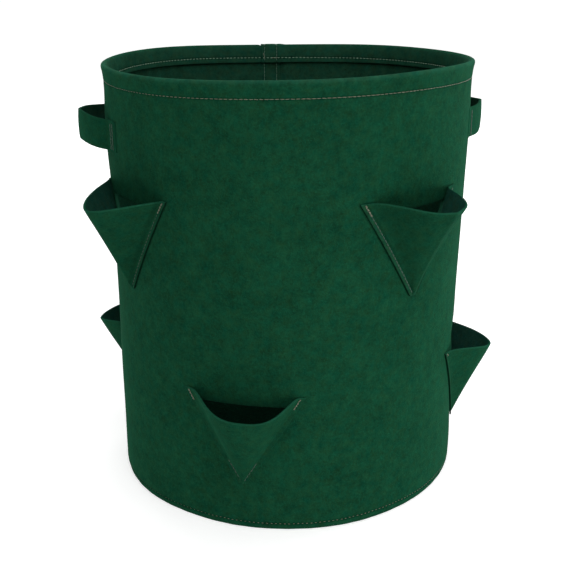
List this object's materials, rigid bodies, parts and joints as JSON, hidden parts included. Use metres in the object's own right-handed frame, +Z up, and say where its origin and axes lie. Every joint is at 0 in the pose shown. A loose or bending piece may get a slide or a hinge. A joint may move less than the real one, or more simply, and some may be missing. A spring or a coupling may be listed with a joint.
{
  "type": "planter grow bag",
  "caption": "Round free-standing felt planter bag with sewn-on planting pockets over half-moon holes, a folded and topstitched rim and strap handles that lift.",
  "frame": {"origin": "centre of the base's underside, on the ground", "axes": "+Z up to the rim, -Y to the front with the front pocket, +Y to the back seam, +X to the right handle"},
  "size_m": [0.4093, 0.3762, 0.41],
  "materials": {
    "wall_felt": "needle-punched felt, matt and slightly fuzzy",
    "flap_felt": "needle-punched felt, matt and slightly fuzzy",
    "strap_felt": "needle-punched felt, matt and slightly fuzzy"
  },
  "bodies": {
    "bag": {"side_wall": "wall_felt", "base_disc": "wall_felt", "upper_pocket_left": "flap_felt", "upper_pocket_right": "flap_felt", "upper_pocket_back": "flap_felt", "lower_pocket_left": "flap_felt", "lower_pocket_front": "flap_felt", "lower_pocket_right": "flap_felt", "left_handle_front_tab": "strap_felt", "left_handle_back_tab": "strap_felt", "right_handle_front_tab": "strap_felt", "right_handle_back_tab": "strap_felt"},
    "left_loop": {"left_handle": "strap_felt"},
    "right_loop": {"right_handle": "strap_felt"}
  },
  "joints": [
    {"name": "left_handle_lift", "type": "hinge", "parent": "bag", "child": "left_loop", "pos_m": [-0.1752, 0, 0.364], "axis": [0, 1, 0], "range_deg": [0, 80]},
    {"name": "right_handle_lift", "type": "hinge", "parent": "bag", "child": "right_loop", "pos_m": [0.1752, 0, 0.364], "axis": [0, -1, 0], "range_deg": [0, 80]}
  ]
}
